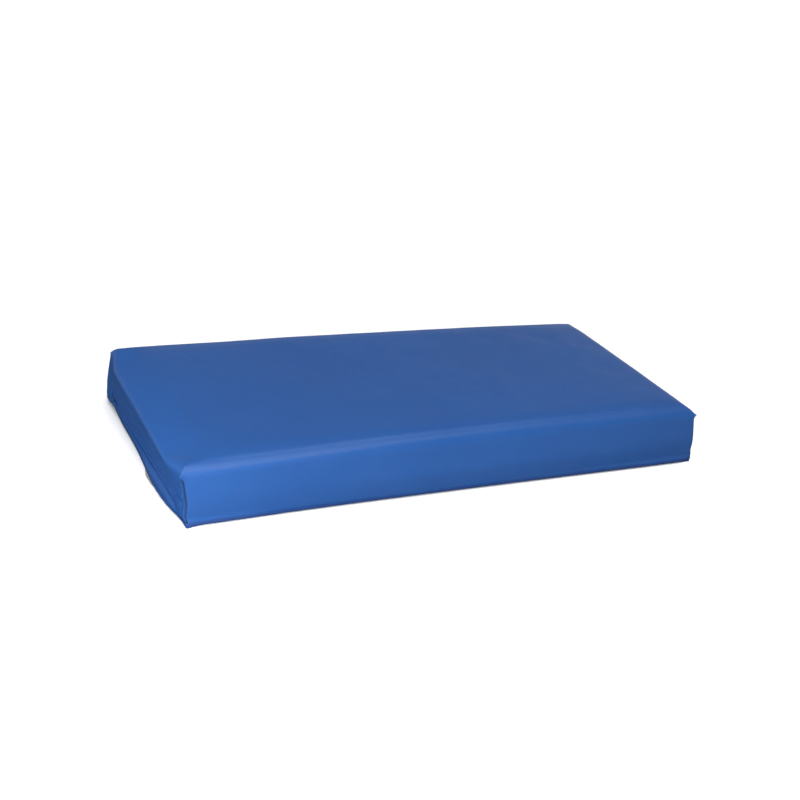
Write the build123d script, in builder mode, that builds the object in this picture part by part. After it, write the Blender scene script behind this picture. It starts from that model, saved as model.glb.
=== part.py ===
"""A flat gym pad: a foam core in a zip-off vinyl cover.

Millimetres. The origin is the middle of the underside, +Z is up, +X runs along the pad's
length and +Y points to its back. The zip is in the end wall at -X.
"""
import os
from math import hypot

from build123d import *

# Pad, measured over the cover
pad_length = 1200.0
pad_width = 550.0
pad_height = 125.0
edge_radius = 22.0

# Cover, binding and underside
cover_thickness = 1.2
hem_thickness = 1.2
hem_height = 10.0
hem_leg = 12.0
sewn_gap = 0.1
panel_thickness = 1.2

# Foam core
base_layer_height = 50.0
foam_side_gap = 1.5
foam_top_gap = 0.3

# Tape inside the corner seams
corner_tape_width = 20.0
corner_tape_thickness = 0.8
corner_tape_margin = 8.0
corner_tape_gap = 0.2

# Zip: its place and its woven tapes
zip_height = 28.0
zip_end_distance = 45.0
slot_gap = 1.0
tape_width = 13.0
tape_thickness = 0.8
tape_overrun = 20.0

# Zip: the two rows of teeth and their stops
teeth_half_gap = 0.8
teeth_reach = 2.8
teeth_thickness = 2.6
teeth_end_margin = 8.0
stop_length = 3.0
stop_thickness = 3.0

# Zip: slider
slider_length = 16.0
slider_nose_width = 12.0
slider_tail_width = 10.8
plate_thickness = 1.2
slider_clearance = 0.3
slider_end_gap = 0.5
rail_width = 1.2
rail_side_gap = 0.6
rail_tape_gap = 0.4
neck_length = 4.0
neck_width = 1.0
neck_inset = 1.0
bridge_length = 10.4
bridge_width = 2.4
bridge_thickness = 1.2
bridge_post = 1.6

# Zip: pull tab
pull_bar_radius = 0.8
pull_thickness = 1.4
pull_clearance = 0.3
pull_arm_width = 1.4
pull_side_gap = 0.6
pull_window_gap = 1.3
grip_length = 18.0
grip_width = 8.0
grip_corner = 2.5
grip_hole = 3.0

# Zip: strip behind the teeth and patches over the ends
guard_thickness = 1.0
guard_land = 2.0
guard_gap = 0.6
recess_gap = 0.2
patch_length = 34.0
patch_height = 32.0
patch_thickness = 1.2
patch_corner = 4.0
patch_gap = 1.0

# Core: what is left inside the cover
inner_length = pad_length - 2 * cover_thickness
inner_width = pad_width - 2 * cover_thickness
core_length = inner_length - 2 * foam_side_gap
core_width = inner_width - 2 * foam_side_gap
core_floor = max(panel_thickness, hem_thickness)
layer_split = core_floor + base_layer_height
core_top = pad_height - cover_thickness - foam_top_gap
core_edge_radius = edge_radius - cover_thickness - foam_top_gap

# Zip stack: depths below the end wall's outer face
tape_depth = cover_thickness
teeth_depth = tape_depth + (tape_thickness - teeth_thickness) / 2
stop_depth = tape_depth + (tape_thickness - stop_thickness) / 2
front_plate_depth = min(teeth_depth, stop_depth) - slider_clearance - plate_thickness
back_plate_depth = teeth_depth + teeth_thickness + slider_clearance
guard_depth = back_plate_depth + plate_thickness + guard_gap
recess_depth = guard_depth + guard_thickness + recess_gap
tape_back_depth = tape_depth + tape_thickness

# Zip, across its width
teeth_outer = teeth_half_gap + teeth_reach
slot_height = max(slider_nose_width, 2 * teeth_outer) + 2 * slot_gap
guard_width = 2 * (teeth_outer + tape_width)

# Zip, along its length: closed at the back, open towards the front
zip_length = pad_width - 2 * zip_end_distance
teeth_end = zip_length / 2 - teeth_end_margin
slider_y = teeth_end - slider_end_gap - slider_length / 2
rail_inner = teeth_outer + rail_side_gap

# Pull tab: its pivot stands off the wall far enough to pass over plate and patch
plate_outside = -front_plate_depth
pull_floor = max(plate_outside, patch_thickness)
pivot_out = pull_floor + pull_clearance + pull_bar_radius
bridge_underside = pivot_out + pull_bar_radius + pull_clearance
bridge_outside = bridge_underside + bridge_thickness
pull_window = hypot(bridge_length / 2, bridge_outside - pivot_out) + pull_window_gap
arm_inner = bridge_width / 2 + pull_side_gap
arm_outer = arm_inner + pull_arm_width

os.makedirs("parts", exist_ok=True)


def end_plane(depth):
    """A plane at this depth inside the end wall's outer face, centred on the zip.

    Its own x runs along the zip towards the back and its y is up; extruding goes inwards.
    """
    origin = (depth - pad_length / 2, 0, zip_height)
    return Plane(origin=origin, x_dir=(0, 1, 0), z_dir=(1, 0, 0))


# Cover: the top and all four walls, with the slot for the zip in one end wall
with BuildPart() as cover_sheet:
    with BuildSketch(Plane.XY.offset(hem_thickness)):
        Rectangle(pad_length, pad_width)
    extrude(amount=pad_height - hem_thickness)
    fillet(cover_sheet.edges().group_by(Axis.Z)[-1], edge_radius)
    offset(amount=-cover_thickness, openings=cover_sheet.faces().sort_by(Axis.Z)[0])
    with BuildSketch(end_plane(0)):
        Rectangle(zip_length, slot_height)
    extrude(amount=cover_thickness, mode=Mode.SUBTRACT)
cover_sheet.part.label = "cover_sheet"
export_step(cover_sheet.part, "parts/cover_sheet.step")

# Hem binding: an L-section that runs round the base, up the walls and under their edge
with BuildPart() as hem_binding:
    with BuildSketch():
        Rectangle(pad_length + 2 * hem_thickness, pad_width + 2 * hem_thickness)
    extrude(amount=hem_height)
    with BuildSketch(Plane.XY.offset(hem_thickness)):
        Rectangle(pad_length + 2 * sewn_gap, pad_width + 2 * sewn_gap)
    extrude(amount=hem_height, mode=Mode.SUBTRACT)
    with BuildSketch():
        Rectangle(pad_length - 2 * hem_leg, pad_width - 2 * hem_leg)
    extrude(amount=hem_height, mode=Mode.SUBTRACT)
hem_binding.part.label = "hem_binding"
export_step(hem_binding.part, "parts/hem_binding.step")

# Underside: the pale non-slip panel, flush with the binding's lower leg
with BuildPart() as underside_panel:
    with BuildSketch():
        Rectangle(
            pad_length - 2 * (hem_leg + sewn_gap),
            pad_width - 2 * (hem_leg + sewn_gap),
        )
    extrude(amount=panel_thickness)
underside_panel.part.label = "underside_panel"
export_step(underside_panel.part, "parts/underside_panel.step")

# Firm lower foam layer, pressed in behind the zip
with BuildPart() as foam_base_layer:
    with BuildSketch(Plane.XY.offset(core_floor)):
        Rectangle(core_length, core_width)
    extrude(amount=base_layer_height)
    with BuildSketch(end_plane(0)):
        Rectangle(zip_length + 2 * (tape_overrun + guard_gap), guard_width + 2 * guard_gap)
    extrude(amount=recess_depth, mode=Mode.SUBTRACT)
foam_base_layer.part.label = "foam_base_layer"
export_step(foam_base_layer.part, "parts/foam_base_layer.step")

# Softer upper foam layer, with the pad's rounded top edges
with BuildPart() as foam_top_layer:
    with BuildSketch(Plane.XY.offset(layer_split)):
        Rectangle(core_length, core_width)
    extrude(amount=core_top - layer_split)
    fillet(foam_top_layer.edges().group_by(Axis.Z)[-1], core_edge_radius)
foam_top_layer.part.label = "foam_top_layer"
export_step(foam_top_layer.part, "parts/foam_top_layer.step")

# Reinforcing tape folded into each corner seam, inside the cover
corner_sides = {
    "front_left": (-1, -1),
    "front_right": (1, -1),
    "back_left": (-1, 1),
    "back_right": (1, 1),
}
corner_tape_bottom = core_floor + corner_tape_margin
corner_tape_height = pad_height - edge_radius - corner_tape_margin - corner_tape_bottom
tape_run_x = inner_length / 2 - corner_tape_gap
tape_run_y = inner_width / 2 - corner_tape_gap
for corner, (side_x, side_y) in corner_sides.items():
    with BuildPart() as corner_tape:
        with BuildSketch(Plane.XY.offset(corner_tape_bottom)):
            for inset, mode in ((0, Mode.ADD), (corner_tape_thickness, Mode.SUBTRACT)):
                reach = inset + corner_tape_width / 2
                with Locations((side_x * (tape_run_x - reach), side_y * (tape_run_y - reach))):
                    Rectangle(corner_tape_width, corner_tape_width, mode=mode)
        extrude(amount=corner_tape_height)
    corner_tape.part.label = f"corner_tape_{corner}"
    export_step(corner_tape.part, f"parts/corner_tape_{corner}.step")

# Zip: one woven tape and one row of teeth above the centre line and one of each below it
for row, side in {"upper": 1, "lower": -1}.items():
    with BuildPart() as zip_tape:
        with BuildSketch(end_plane(tape_depth)):
            with Locations((0, side * (teeth_outer + tape_width / 2))):
                Rectangle(zip_length + 2 * tape_overrun, tape_width)
        extrude(amount=tape_thickness)
    zip_tape.part.label = f"zip_tape_{row}"
    export_step(zip_tape.part, f"parts/zip_tape_{row}.step")

    with BuildPart() as zip_teeth:
        with BuildSketch(end_plane(teeth_depth)):
            with Locations((0, side * (teeth_half_gap + teeth_reach / 2))):
                Rectangle(2 * teeth_end, teeth_reach)
        extrude(amount=teeth_thickness)
    zip_teeth.part.label = f"zip_teeth_{row}"
    export_step(zip_teeth.part, f"parts/zip_teeth_{row}.step")

# Two clips at the closed end, one on each row
with BuildPart() as zip_top_stops:
    with BuildSketch(end_plane(stop_depth)):
        for side in (1, -1):
            with Locations((teeth_end + stop_length / 2, side * (teeth_half_gap + teeth_reach / 2))):
                Rectangle(stop_length, teeth_reach)
    extrude(amount=stop_thickness)
zip_top_stops.part.label = "zip_top_stops"
export_step(zip_top_stops.part, "parts/zip_top_stops.step")

# One block at the open end, across both rows
with BuildPart() as zip_bottom_stop:
    with BuildSketch(end_plane(stop_depth)):
        with Locations((-teeth_end - stop_length / 2, 0)):
            Rectangle(stop_length, 2 * teeth_outer)
    extrude(amount=stop_thickness)
zip_bottom_stop.part.label = "zip_bottom_stop"
export_step(zip_bottom_stop.part, "parts/zip_bottom_stop.step")

# Guard: a shallow channel behind the teeth, resting on both tapes
with BuildPart() as zip_guard:
    with BuildSketch(end_plane(tape_back_depth)):
        Rectangle(zip_length + 2 * tape_overrun, guard_width)
    extrude(amount=guard_depth + guard_thickness - tape_back_depth)
    with BuildSketch(end_plane(tape_back_depth)):
        Rectangle(zip_length + 2 * tape_overrun, guard_width - 2 * guard_land)
    extrude(amount=guard_depth - tape_back_depth, mode=Mode.SUBTRACT)
zip_guard.part.label = "zip_guard"
export_step(zip_guard.part, "parts/zip_guard.step")

# Vinyl patches sewn over the two ends of the zip
patch_start = teeth_end + stop_length + patch_gap
for end, side in {"front": -1, "back": 1}.items():
    with BuildPart() as zip_end_patch:
        with BuildSketch(end_plane(-patch_thickness)):
            with Locations((side * (patch_start + patch_length / 2), 0)):
                RectangleRounded(patch_length, patch_height, patch_corner)
        extrude(amount=patch_thickness)
    zip_end_patch.part.label = f"zip_end_patch_{end}"
    export_step(zip_end_patch.part, f"parts/zip_end_patch_{end}.step")

# Slider: two tapered plates joined by a neck, rails that hold the teeth in, and a bridge
plate_outline = [
    (slider_y - slider_length / 2, -slider_tail_width / 2),
    (slider_y + slider_length / 2, -slider_nose_width / 2),
    (slider_y + slider_length / 2, slider_nose_width / 2),
    (slider_y - slider_length / 2, slider_tail_width / 2),
]
front_rail_height = tape_depth - rail_tape_gap - (front_plate_depth + plate_thickness)
back_rail_height = back_plate_depth - tape_back_depth - rail_tape_gap
neck_y = slider_y + slider_length / 2 - neck_inset - neck_length / 2
with BuildPart() as zip_slider:
    for plate_depth in (front_plate_depth, back_plate_depth):
        with BuildSketch(end_plane(plate_depth)):
            Polygon(*plate_outline, align=None)
        extrude(amount=plate_thickness)
    with BuildSketch(end_plane(front_plate_depth)):
        with Locations((neck_y, 0)):
            Rectangle(neck_length, neck_width)
    extrude(amount=back_plate_depth - front_plate_depth)
    for rail_depth, rail_height in (
        (front_plate_depth + plate_thickness, front_rail_height),
        (back_plate_depth - back_rail_height, back_rail_height),
    ):
        with BuildSketch(end_plane(rail_depth)):
            for side in (1, -1):
                with Locations((slider_y, side * (rail_inner + rail_width / 2))):
                    Rectangle(slider_length, rail_width)
        extrude(amount=rail_height)
    with BuildSketch(end_plane(-bridge_outside)):
        with Locations((slider_y, 0)):
            Rectangle(bridge_length, bridge_width)
    extrude(amount=bridge_outside - plate_outside)
    with BuildSketch(end_plane(-bridge_underside)):
        with Locations((slider_y, 0)):
            Rectangle(bridge_length - 2 * bridge_post, bridge_width)
    extrude(amount=bridge_underside - plate_outside, mode=Mode.SUBTRACT)
zip_slider.part.label = "zip_slider"
export_step(zip_slider.part, "parts/zip_slider.step")

# Pull tab: two arms and a cross bar under the bridge, and a grip plate with a small hole
pivot = (-pad_length / 2 - pivot_out, slider_y, zip_height)
with BuildPart() as zip_pull_tab:
    with BuildSketch(end_plane(-pivot_out - pull_thickness / 2)):
        for side in (1, -1):
            with Locations((slider_y - pull_window / 2, side * (arm_inner + arm_outer) / 2)):
                Rectangle(pull_window, pull_arm_width)
        with Locations((slider_y - pull_window - grip_length / 2, 0)):
            Rectangle(grip_length, grip_width)
    extrude(amount=pull_thickness)
    fillet(
        zip_pull_tab.edges().filter_by(Axis.X).group_by(Axis.Y)[0],
        grip_corner,
    )
    with BuildSketch(end_plane(-pivot_out - pull_thickness / 2)):
        with Locations((slider_y - pull_window - grip_length + grip_width / 2, 0)):
            Circle(grip_hole / 2)
    extrude(amount=pull_thickness, mode=Mode.SUBTRACT)
    with BuildSketch(Plane(origin=pivot, z_dir=(0, 0, 1))):
        Circle(pull_bar_radius)
    extrude(amount=arm_outer, both=True)
zip_pull_tab.part.label = "zip_pull_tab"
export_step(zip_pull_tab.part, "parts/zip_pull_tab.step")
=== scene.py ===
"""Visual model of a flat gym pad: foam in a zip-off vinyl cover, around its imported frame."""
import math

import bpy
from mathutils import Euler, Matrix, Vector, noise


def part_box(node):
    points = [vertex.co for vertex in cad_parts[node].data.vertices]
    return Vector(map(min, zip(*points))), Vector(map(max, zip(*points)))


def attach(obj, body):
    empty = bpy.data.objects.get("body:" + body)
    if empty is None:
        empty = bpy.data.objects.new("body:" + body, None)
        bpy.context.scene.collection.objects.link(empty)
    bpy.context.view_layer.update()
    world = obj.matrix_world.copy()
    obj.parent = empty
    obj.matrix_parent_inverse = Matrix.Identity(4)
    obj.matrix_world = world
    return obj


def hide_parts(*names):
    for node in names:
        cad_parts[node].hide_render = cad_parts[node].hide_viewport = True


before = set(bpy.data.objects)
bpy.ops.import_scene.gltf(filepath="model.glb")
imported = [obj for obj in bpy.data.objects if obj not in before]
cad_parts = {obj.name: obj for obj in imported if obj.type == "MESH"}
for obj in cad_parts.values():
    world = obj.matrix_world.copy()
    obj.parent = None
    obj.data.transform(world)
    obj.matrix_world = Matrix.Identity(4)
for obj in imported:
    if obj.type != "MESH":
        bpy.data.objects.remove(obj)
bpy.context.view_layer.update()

bl_info = {
    "name": "Vinyl Gym Pad",
    "version": (1, 0, 0),
    "blender": (4, 5, 0),
    "location": "3D View > Sidebar > Gym Pad",
    "description": "Models a foam gym pad in a sewn vinyl cover with a zip in one end",
    "category": "Object",
}

MM = 0.001
PAD, SLIDER, PULL_TAB = "pad", "slider", "pull_tab"

COVER_LOW, COVER_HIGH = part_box("cover_sheet")
HEM_LOW, HEM_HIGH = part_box("hem_binding")
UNDERSIDE_LOW, UNDERSIDE_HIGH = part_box("underside_panel")
FOAM_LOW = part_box("foam_base_layer")[0]
FOAM_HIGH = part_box("foam_top_layer")[1]
TEETH_LOW, TEETH_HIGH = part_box("zip_teeth_lower")
TEETH_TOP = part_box("zip_teeth_upper")[1].z
ZIP_Z = (TEETH_LOW.z + TEETH_TOP) / 2
PATCH_REACH = -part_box("zip_end_patch_front")[0].y
SLOT_HALF_LENGTH = PATCH_REACH - 30 * MM
SLOT_HALF_HEIGHT = 7 * MM
VINYL_THICKNESS = 1.2 * MM
ON_FACE = 1 * MM  # a point this near to a face of the cover's block lies on it

# The lean grows with height along this curve, and stops a little above the block's top
RISE_CURVE, MOST_RISE = 1.2, 1.1
# The foot: full below one height, gone above another, and this deep into a wall
FOOT_FULL, FOOT_GONE, FOOT_DEPTH = 3 * MM, ZIP_Z - 9 * MM, 16 * MM
# The tuck under: this deep into a wall, and fading out this near to a corner
TUCK_DEPTH, TUCK_FADE = 14 * MM, 40 * MM
# Along the zip end, in half widths: where the foot stands out or in, how widely, how much
END_FOOT = ((-0.48, 0.42, 1.0), (1.0, 0.35, -0.7), (-1.0, 0.16, -0.6))
# Along the front the foot stands out by this share, near its left and its right end
FRONT_FOOT, FRONT_LEFT_WIDTH, FRONT_RIGHT_WIDTH = 0.5, 190 * MM, 420 * MM
FRONT_RIGHT_DRAW, FRONT_RIGHT_DRAW_WIDTH = 4.5 * MM, 22 * MM
# The foam follows the foot inwards by this share, and stays this far behind it
FOAM_FOLLOW, FOAM_GAP = 1.15, 1 * MM

# The corners: how far the top droops and how far the ear stands out, as shares
CORNER_REACH = 90 * MM
CORNER_SHARES = {
    (-1, -1): (0.1, 0.9), (1, -1): (0.1, 1.0), (1, 1): (0.7, 1.0), (-1, 1): (0.3, 0.15)}
DROOP_WIDTH = 38 * MM
GROOVE_WIDTH = 3.8 * MM
EAR_RISE, EAR_HEIGHT, EAR_WIDTH = 3 * MM, 5 * MM, 6 * MM
EAR_OUT, EAR_UP = 0.8, 0.6
# Painted shade in the corner seams: the attribute that darkens the vinyl there, and how strong,
# how wide and how much wider upwards that painted shade is
SEAM_SHADE = "painted_seam_shade"
SHADE_DEPTH, SHADE_WIDTH, SHADE_WIDENING = 0.9, 2.6 * MM, 2.4 * MM

# The folds of the top, and one pull line from the front seam towards the end of the zip
FOLD_SHARE = 0.85
FOLD_FADE = 10 * MM, 90 * MM
FOLD_BAND = 45 * MM, 60 * MM
PULL_START, PULL_END = Vector((-COVER_HIGH.y, 0.062)), Vector((-0.205, 0.046))
PULL_DEPTH, PULL_WIDTH = 3.4 * MM, 4 * MM
# The slow unevenness of a sheet pulled over foam: how many waves a metre, and how high
WANDER = ((5.5, 1.1 * MM), (16, 0.35 * MM))

CLOTH_FRAMES = 20
CLOTH_SETTINGS = {
    "quality": 5,
    "mass": 0.4,
    "tension_stiffness": 30,
    "compression_stiffness": 30,
    "shear_stiffness": 15,
    "bending_stiffness": 5,
    "use_pressure": True,
}
INWARD_DAMPING = 0.8
EVENING_PASSES, EVENING_SHARE = 12, 0.6

CAMERA_PLACE = (-1.2993, -2.1987, 1.2532)
CAMERA_YAW, CAMERA_PITCH, CAMERA_ROLL = 30.18, 24.81, 8.47
CAMERA_LENS = 57.19


# Colour and nodes


def linear(code):
    """sRGB hex to linear red, green, blue and alpha."""
    parts = [int(code[i:i + 2], 16) / 255 for i in (1, 3, 5)]
    return [c / 12.92 if c <= 0.04045 else ((c + 0.055) / 1.055) ** 2.4 for c in parts] + [1.0]


def feed(tree, node, links=None, **values):
    """Sets a node's input values, and links sockets into it."""
    for name, value in values.items():
        node.inputs[name.replace("_", " ")].default_value = value
    for name, socket in (links or {}).items():
        tree.links.new(socket, node.inputs[name])


def add_node(tree, kind, settings=None, links=None, **values):
    """Adds a node, sets its properties and input values, and links sockets into it."""
    node = tree.nodes.new(kind)
    for name, value in (settings or {}).items():
        setattr(node, name, value)
    feed(tree, node, links, **values)
    return node


def start_material(name):
    """A material, its tree, its Object coordinates and its shader, to be fed."""
    material = bpy.data.materials.new(name)
    material.use_nodes = True
    tree = material.node_tree
    tree.nodes.clear()
    place = add_node(tree, "ShaderNodeTexCoord").outputs["Object"]
    shader = add_node(tree, "ShaderNodeBsdfPrincipled")
    add_node(tree, "ShaderNodeOutputMaterial", links={"Surface": shader.outputs[0]})
    return material, tree, place, shader


def per_metre(size_mm):
    """Texture scale that makes one cell this many millimetres across."""
    return 1000.0 / size_mm


# Materials


def coated_vinyl(name, dark, light, grain_mm=3.2, roughness=0.42, seam=None):
    """PVC-coated polyester: calendered and embossed with a fine hide grain, so it has a
    satin sheen broken up by small pebbles, and goes a little duller where it is handled."""
    material, tree, place, shader = start_material(name)
    cloudy = add_node(tree, "ShaderNodeTexNoise", links={"Vector": place},
                      Scale=per_metre(260), Detail=3.0, Roughness=0.55)
    tone = add_node(tree, "ShaderNodeMix", {"data_type": "RGBA"},
                    {"Factor": cloudy.outputs["Fac"]}, A=linear(dark), B=linear(light))
    colour = tone.outputs["Result"]
    if seam:
        # Painted shade: the colour is mixed towards the darker seam colour where the corner seams
        # pull the sheet in
        folded = add_node(tree, "ShaderNodeAttribute", {"attribute_name": SEAM_SHADE})
        painted_seam_darkening = add_node(tree, "ShaderNodeMix", {"data_type": "RGBA"},
                          {"Factor": folded.outputs["Fac"], "A": colour}, B=linear(seam))
        colour = painted_seam_darkening.outputs["Result"]
    # The real grain is about 1 mm and is drawn about three times coarser so that it shows
    pebbles = add_node(tree, "ShaderNodeTexVoronoi", {"feature": "SMOOTH_F1"},
                       {"Vector": place}, Scale=per_metre(grain_mm), Smoothness=0.6)
    pores = add_node(tree, "ShaderNodeTexNoise", links={"Vector": place},
                     Scale=per_metre(grain_mm * 0.7), Detail=4.0, Roughness=0.6)
    relief = add_node(tree, "ShaderNodeMath", {"operation": "ADD"},
                      {0: pebbles.outputs["Distance"], 1: pores.outputs["Fac"]})
    grain = add_node(tree, "ShaderNodeBump", links={"Height": relief.outputs[0]},
                     Strength=0.7, Distance=0.35 * MM)
    handled = add_node(tree, "ShaderNodeTexNoise", links={"Vector": place},
                       Scale=per_metre(90), Detail=5.0, Roughness=0.6)
    dull = add_node(tree, "ShaderNodeMapRange", links={"Value": handled.outputs["Fac"]},
                    From_Min=0.3, From_Max=0.7,
                    To_Min=roughness - 0.05, To_Max=roughness + 0.07)
    feed(tree, shader,
         {"Base Color": colour, "Roughness": dull.outputs["Result"],
          "Normal": grain.outputs["Normal"]},
         IOR=1.5, Specular_IOR_Level=0.3)
    return material


def woven_cloth(name, dark, light, thread_mm, roughness=0.85):
    """Plain-woven polyester: crossing threads that show as a small even check, no gloss."""
    material, tree, place, shader = start_material(name)
    # A band is 2 pi / 20 units wide, so the threads are drawn six times coarser, to show
    waves = [
        add_node(tree, "ShaderNodeTexWave", {"wave_type": "BANDS", "bands_direction": axis},
                 {"Vector": place}, Scale=per_metre(thread_mm) / 20, Distortion=0.6,
                 Detail=1.0).outputs["Fac"]
        for axis in ("X", "Y", "Z")
    ]
    crossed = add_node(tree, "ShaderNodeMath", {"operation": "MULTIPLY"},
                       {0: waves[0], 1: waves[1]})
    threads = add_node(tree, "ShaderNodeMath", {"operation": "ADD"},
                       {0: crossed.outputs[0], 1: waves[2]})
    tone = add_node(tree, "ShaderNodeMix", {"data_type": "RGBA"},
                    {"Factor": threads.outputs[0]}, A=linear(dark), B=linear(light))
    weave = add_node(tree, "ShaderNodeBump", links={"Height": threads.outputs[0]},
                     Strength=0.5, Distance=0.2 * MM)
    feed(tree, shader,
         {"Base Color": tone.outputs["Result"], "Normal": weave.outputs["Normal"]},
         Roughness=roughness)
    return material


def open_cell_foam(name, dark, light, cell_mm):
    """Polyurethane or polyethylene foam cut from a block: matte, with open round cells."""
    material, tree, place, shader = start_material(name)
    cells = add_node(tree, "ShaderNodeTexVoronoi", links={"Vector": place},
                     Scale=per_metre(cell_mm), Randomness=1.0)
    tone = add_node(tree, "ShaderNodeMix", {"data_type": "RGBA"},
                    {"Factor": cells.outputs["Distance"]}, A=linear(dark), B=linear(light))
    pits = add_node(tree, "ShaderNodeBump", links={"Height": cells.outputs["Distance"]},
                    Strength=0.6, Distance=0.4 * MM)
    feed(tree, shader,
         {"Base Color": tone.outputs["Result"], "Normal": pits.outputs["Normal"]},
         Roughness=0.9)
    return material


def moulded_acetal(name, colour):
    """Acetal zip teeth, injection moulded: smooth and slightly waxy."""
    material, tree, place, shader = start_material(name)
    flow = add_node(tree, "ShaderNodeTexNoise", links={"Vector": place},
                    Scale=per_metre(2.0), Detail=2.0)
    skin = add_node(tree, "ShaderNodeBump", links={"Height": flow.outputs["Fac"]},
                    Strength=0.15, Distance=0.05 * MM)
    feed(tree, shader, {"Normal": skin.outputs["Normal"]},
         Base_Color=linear(colour), Roughness=0.32, IOR=1.48)
    return material


def enamelled_zinc(name, colour, worn):
    """Die-cast zinc with baked enamel: glossy, rubbed a little thinner in small patches."""
    material, tree, place, shader = start_material(name)
    rubbed = add_node(tree, "ShaderNodeTexNoise", links={"Vector": place},
                      Scale=per_metre(6.0), Detail=5.0, Roughness=0.65)
    patches = add_node(tree, "ShaderNodeMapRange", links={"Value": rubbed.outputs["Fac"]},
                       From_Min=0.55, From_Max=0.75)
    tone = add_node(tree, "ShaderNodeMix", {"data_type": "RGBA"},
                    {"Factor": patches.outputs["Result"]}, A=linear(colour), B=linear(worn))
    feed(tree, shader, {"Base Color": tone.outputs["Result"]}, Roughness=0.28, IOR=1.5)
    return material


def painted_floor(name, colour):
    """Matte white studio floor: rolled paint, with the faintest unevenness."""
    material, tree, place, shader = start_material(name)
    roller = add_node(tree, "ShaderNodeTexNoise", links={"Vector": place},
                      Scale=per_metre(12), Detail=2.0)
    skin = add_node(tree, "ShaderNodeBump", links={"Height": roller.outputs["Fac"]},
                    Strength=0.05, Distance=0.2 * MM)
    feed(tree, shader, {"Normal": skin.outputs["Normal"]},
         Base_Color=linear(colour), Roughness=0.9, Specular_IOR_Level=0.1)
    return material


# Modelling helpers


def deselect_all():
    bpy.ops.object.select_all(action="DESELECT")


def make_active(piece):
    deselect_all()
    piece.select_set(True)
    bpy.context.view_layer.objects.active = piece


def start_block(name, low, high):
    """Adds a block between two corners, its place in its mesh, and makes it active."""
    deselect_all()
    low, high = Vector(low), Vector(high)
    bpy.ops.mesh.primitive_cube_add(size=1, location=(low + high) / 2, scale=high - low)
    piece = bpy.context.active_object
    piece.name = name
    piece.data.name = name
    bpy.ops.object.transform_apply(location=True, rotation=True, scale=True)
    return piece


def select_where(piece, test, kind="FACE"):
    """Selects the faces or edges for which test is true, and stays in edit mode."""
    bpy.ops.object.mode_set(mode="EDIT")
    bpy.ops.mesh.select_mode(type=kind)
    bpy.ops.mesh.select_all(action="DESELECT")
    bpy.ops.object.mode_set(mode="OBJECT")
    mesh = piece.data
    if kind == "FACE":
        for face in mesh.polygons:
            face.select = test(face.center, face.normal)
    else:
        for edge in mesh.edges:
            ends = [mesh.vertices[i].co for i in edge.vertices]
            edge.select = test(*ends)
    bpy.ops.object.mode_set(mode="EDIT")


def cut_grid(places):
    """Cuts the active mesh square across each axis at the given places."""
    bpy.ops.object.mode_set(mode="EDIT")
    for axis, values in enumerate(places):
        normal = Vector((axis == 0, axis == 1, axis == 2)) * 1.0
        for value in values:
            bpy.ops.mesh.select_all(action="SELECT")
            bpy.ops.mesh.bisect(plane_co=normal * value, plane_no=normal)
    bpy.ops.object.mode_set(mode="OBJECT")


def delete_faces(piece, test):
    select_where(piece, test)
    bpy.ops.mesh.delete(type="FACE")
    bpy.ops.object.mode_set(mode="OBJECT")


def grid_places(low, high, near, spacing, extra=()):
    """Places for cuts: at set distances from both ends, even between, and the extras."""
    values = [low + d for d in near] + [high - d for d in near]
    first, last = low + near[-1], high - near[-1]
    count = max(1, round((last - first) / spacing))
    values += [first + (last - first) * i / count for i in range(1, count)]
    kept = [v for v in values if all(abs(v - e) > 0.25 * spacing for e in extra)]
    return sorted(kept + list(extra))


def apply_modifiers(piece):
    make_active(piece)
    for modifier in list(piece.modifiers):
        bpy.ops.object.modifier_apply(modifier=modifier.name)


def smooth(piece, degrees=40):
    make_active(piece)
    bpy.ops.object.shade_smooth_by_angle(angle=math.radians(degrees))


def smooth_step(low, high, value):
    t = min(1.0, max(0.0, (value - low) / (high - low)))
    return t * t * (3 - 2 * t)


def bell(distance, width):
    """1 at no distance, and falling off smoothly over the width."""
    return math.exp(-((distance / width) ** 2))


def finish_piece(piece, material, body, slot, *nodes):
    """Gives a piece its material, and says what it rides on and stands for."""
    piece.data.materials.clear()
    piece.data.materials.append(material)
    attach(piece, body)
    if nodes:
        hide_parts(*nodes)


def copy_of_node(node, name):
    """A welded copy of a CAD node's mesh, as a new object to finish."""
    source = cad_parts[node]
    piece = bpy.data.objects.new(name, source.data.copy())
    bpy.context.scene.collection.objects.link(piece)
    piece.data.name = name
    make_active(piece)
    bpy.ops.object.mode_set(mode="EDIT")
    bpy.ops.mesh.select_all(action="SELECT")
    bpy.ops.mesh.remove_doubles(threshold=1e-6)
    bpy.ops.mesh.dissolve_limited(angle_limit=math.radians(1))
    bpy.ops.object.mode_set(mode="OBJECT")
    if piece.data.has_custom_normals:
        bpy.ops.mesh.customdata_custom_splitnormals_clear()
    return piece


def round_edges(piece, width, segments=2):
    bevel = piece.modifiers.new("round edges", "BEVEL")
    bevel.width = width
    bevel.segments = segments
    bevel.limit_method = "ANGLE"
    bevel.angle_limit = math.radians(40)
    apply_modifiers(piece)


def rounded_node(node, name, width, segments, *finish):
    """A CAD node with its edges rounded, given its material and body; its slot is not used."""
    piece = copy_of_node(node, name)
    round_edges(piece, width, segments)
    smooth(piece)
    finish_piece(piece, *finish, node)


def join_copies(name, source, matrices):
    """Copies one small mesh to many places and joins them into a single piece."""
    deselect_all()
    copies = []
    for matrix in matrices:
        mesh = source.data.copy()
        mesh.transform(matrix)
        copy = bpy.data.objects.new(name, mesh)
        bpy.context.scene.collection.objects.link(copy)
        copy.select_set(True)
        copies.append(copy)
    bpy.context.view_layer.objects.active = copies[0]
    bpy.ops.object.join()
    bpy.data.objects.remove(source)
    piece = bpy.context.active_object
    piece.name = name
    return piece


# How the soft pad sits


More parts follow.
